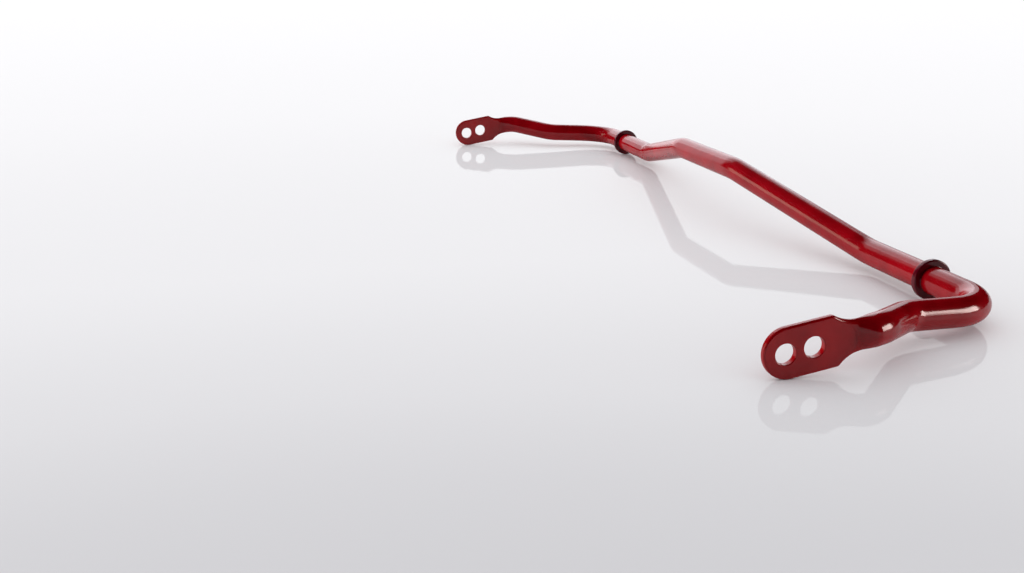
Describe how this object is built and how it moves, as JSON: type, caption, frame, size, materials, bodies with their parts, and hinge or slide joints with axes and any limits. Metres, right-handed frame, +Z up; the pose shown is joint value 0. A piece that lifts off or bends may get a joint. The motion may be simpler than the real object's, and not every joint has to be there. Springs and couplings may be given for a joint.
{
  "type": "sway bar",
  "caption": "Automotive sway bar: a bent steel tube with a cranked middle, bushing seats with locating collars, and flattened end eyes with adjustment holes.",
  "frame": {"origin": "middle of the bounding box, on the plane that the bar lies on", "axes": "+X along the bushing axis towards the right-hand end, +Y forwards, away from the arms, +Z up"},
  "size_m": [0.9272, 0.2014, 0.0596],
  "materials": {
    "bar_coat": "high-gloss deep red powder coat",
    "eye_coat": "high-gloss deep red powder coat on pressed flats",
    "collar_coat": "high-gloss deep red powder coat"
  },
  "bodies": {
    "centre": {"centre_bar": "bar_coat"},
    "right": {"right_arm": "bar_coat", "right_eye": "eye_coat", "right_collar": "collar_coat"},
    "left": {"left_arm": "bar_coat", "left_eye": "eye_coat", "left_collar": "collar_coat"}
  },
  "joints": [
    {"name": "right_twist", "type": "hinge", "parent": "centre", "child": "right", "pos_m": [0.256, 0.08621, 0.0145], "axis": [1, 0, 0], "range_deg": [-12, 12], "stiffness_Nm_per_rad": 2200},
    {"name": "left_twist", "type": "hinge", "parent": "centre", "child": "left", "pos_m": [-0.256, 0.08621, 0.0145], "axis": [1, 0, 0], "range_deg": [-12, 12], "stiffness_Nm_per_rad": 2200}
  ],
  "couplings": [
    {"joint": "left_twist", "follows": "right_twist", "ratio": -1}
  ]
}
